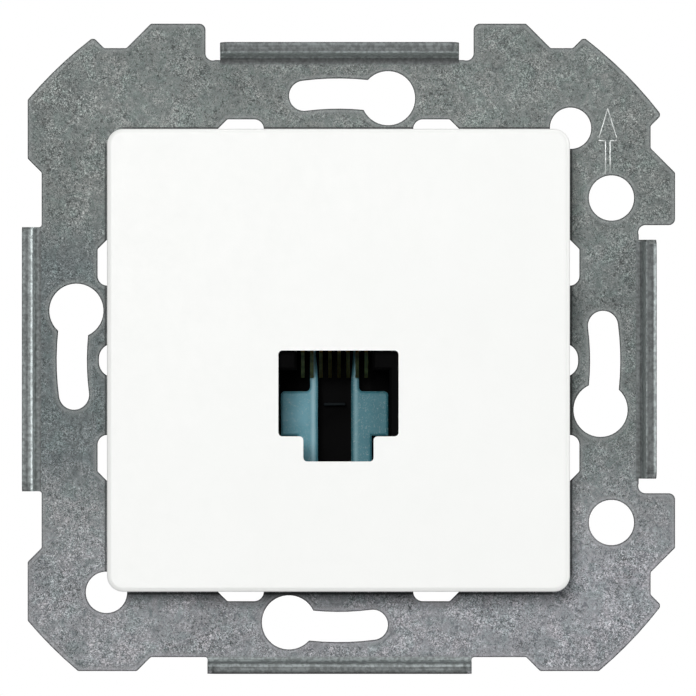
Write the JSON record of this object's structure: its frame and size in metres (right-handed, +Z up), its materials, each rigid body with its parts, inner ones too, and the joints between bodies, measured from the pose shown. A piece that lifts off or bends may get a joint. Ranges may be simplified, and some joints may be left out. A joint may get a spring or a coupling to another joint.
{
  "type": "ethernet socket",
  "caption": "Flush-mounted ethernet socket: folded sheet support frame with keyhole fixings, square white cover plate and a jack module with hinged wire caps.",
  "frame": {"origin": "middle of the circle through the keyhole heads, on the back face of the support frame's sheet", "axes": "+X to the viewer's right, +Z up, and the front faces -Y"},
  "size_m": [0.0734, 0.0307, 0.073],
  "materials": {
    "galvanised_sheet": "galvanised",
    "white_plastic": "satin",
    "grey_plastic": "matte",
    "black_plastic": "matte",
    "blue_grey_plastic": "satin",
    "contact_gold": "plated",
    "blade_metal": "tinned",
    "board": "lacquered",
    "terminal_plastic": "matte",
    "cap_plastic": "satin"
  },
  "bodies": {
    "base": {"support_frame": "galvanised_sheet", "socket_carrier": "grey_plastic", "jack_body": "black_plastic", "jack_insert": "blue_grey_plastic", "circuit_board": "board", "terminal_block_upper": "terminal_plastic", "terminal_block_lower": "terminal_plastic", "contact_1": "contact_gold", "contact_2": "contact_gold", "contact_3": "contact_gold", "contact_4": "contact_gold", "contact_5": "contact_gold", "contact_6": "contact_gold", "contact_7": "contact_gold", "contact_8": "contact_gold", "blade_1": "blade_metal", "blade_2": "blade_metal", "blade_3": "blade_metal", "blade_4": "blade_metal", "blade_5": "blade_metal", "blade_6": "blade_metal", "blade_7": "blade_metal", "blade_8": "blade_metal"},
    "cover": {"cover_plate": "white_plastic"},
    "cap_upper": {"wire_cap_upper": "cap_plastic"},
    "cap_lower": {"wire_cap_lower": "cap_plastic"}
  },
  "joints": [
    {"name": "cover_pull", "type": "slide", "parent": "base", "child": "cover", "axis": [0, -1, 0], "range_m": [0, 0.008]},
    {"name": "cap_upper_hinge", "type": "hinge", "parent": "base", "child": "cap_upper", "pos_m": [-0.00045, 0.0169, 0.00495], "axis": [1, 0, 0], "range_deg": [0, 95]},
    {"name": "cap_lower_hinge", "type": "hinge", "parent": "base", "child": "cap_lower", "pos_m": [-0.00045, 0.0169, -0.01445], "axis": [-1, 0, 0], "range_deg": [0, 95]}
  ]
}
